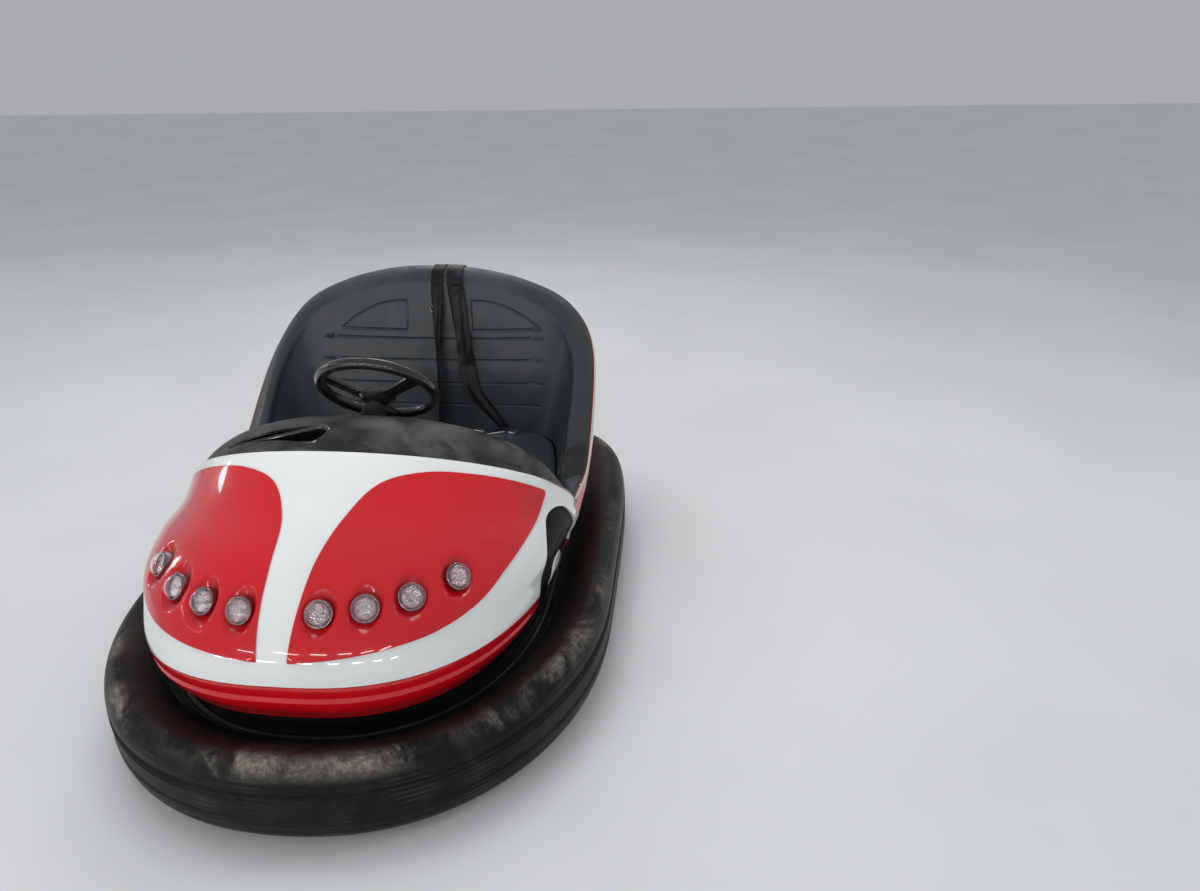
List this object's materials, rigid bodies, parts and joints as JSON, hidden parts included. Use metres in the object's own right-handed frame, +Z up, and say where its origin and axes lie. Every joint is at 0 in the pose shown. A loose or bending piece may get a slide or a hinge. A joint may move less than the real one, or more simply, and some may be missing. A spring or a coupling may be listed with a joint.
{
  "type": "bumper car",
  "caption": "Two-seat fairground bumper car: a thick rubber tyre round a glossy red and white body with a black moulded seat and a tilted steering wheel.",
  "frame": {"origin": "on the floor under the middle of the bumper tyre's outline", "axes": "+Z up, -Y towards the nose, +X to the left of a person on the seat"},
  "size_m": [1.178, 1.66, 0.8135],
  "materials": {
    "tyre": "matte rubber, dusty on its upper face",
    "wheel_rubber": "solid rubber tread",
    "frame_steel": "black enamel, scuffed",
    "bare_steel": "plain steel",
    "black_gloss": "black gelcoat",
    "black_satin": "satin black moulding",
    "soft_black": "ribbed rubber",
    "red_gelcoat": "glossy red glass fibre",
    "white_gelcoat": "glossy white glass fibre",
    "bright_metal": "bright plated metal",
    "mirror_metal": "silvered reflector",
    "clear_lens": "clear dome",
    "seat_vinyl": "grained black seat moulding",
    "webbing": "woven black webbing",
    "battery_case": "battery case",
    "motor_case": "grey motor case"
  },
  "bodies": {
    "chassis": {"tyre": "tyre", "chassis_rim": "frame_steel", "floor_plate": "frame_steel", "cross_members": "frame_steel", "skirt": "black_gloss", "lip_band": "red_gelcoat", "front_shell": "white_gelcoat", "eye_panels": "red_gelcoat", "mock_wheels": "black_gloss", "mock_hubs": "white_gelcoat", "rear_shell": "red_gelcoat", "dash": "black_satin", "dash_tray": "black_gloss", "column_boot": "soft_black", "lamp_bezels": "bright_metal", "lamp_reflectors": "mirror_metal", "lamp_lenses": "clear_lens", "seat_shell": "seat_vinyl", "seat_bench": "seat_vinyl", "seat_box": "black_satin", "belt_left": "webbing", "belt_right": "webbing", "belt_anchor": "frame_steel", "buckles": "bright_metal", "floor_mat": "soft_black", "pedal": "bare_steel", "battery": "battery_case", "axle_brackets": "frame_steel", "rear_axle": "bare_steel", "steering_head": "frame_steel", "column_post": "frame_steel"},
    "steering": {"steering_wheel": "black_gloss", "steering_column": "bare_steel"},
    "drive_unit": {"drive_fork": "frame_steel", "drive_motor": "motor_case"},
    "drive_roller": {"drive_wheel": "wheel_rubber", "drive_hub": "bare_steel"},
    "rear_roller_left": {"rear_wheel_left": "wheel_rubber"},
    "rear_roller_right": {"rear_wheel_right": "wheel_rubber"}
  },
  "joints": [
    {"name": "steering_turn", "type": "hinge", "parent": "chassis", "child": "steering", "pos_m": [0, 0, 0.637], "axis": [0, 0.7314, 0.682], "continuous": true},
    {"name": "drive_swivel", "type": "hinge", "parent": "chassis", "child": "drive_unit", "pos_m": [0, -0.38, 0.24], "axis": [0, 0, 1], "continuous": true},
    {"name": "drive_roll", "type": "hinge", "parent": "drive_unit", "child": "drive_roller", "pos_m": [0, -0.38, 0.1], "axis": [1, 0, 0], "continuous": true},
    {"name": "rear_roll_left", "type": "hinge", "parent": "chassis", "child": "rear_roller_left", "pos_m": [-0.31, 0.47, 0.075], "axis": [1, 0, 0], "continuous": true},
    {"name": "rear_roll_right", "type": "hinge", "parent": "chassis", "child": "rear_roller_right", "pos_m": [0.31, 0.47, 0.075], "axis": [1, 0, 0], "continuous": true}
  ],
  "couplings": [
    {"joint": "drive_swivel", "follows": "steering_turn", "ratio": 1}
  ]
}
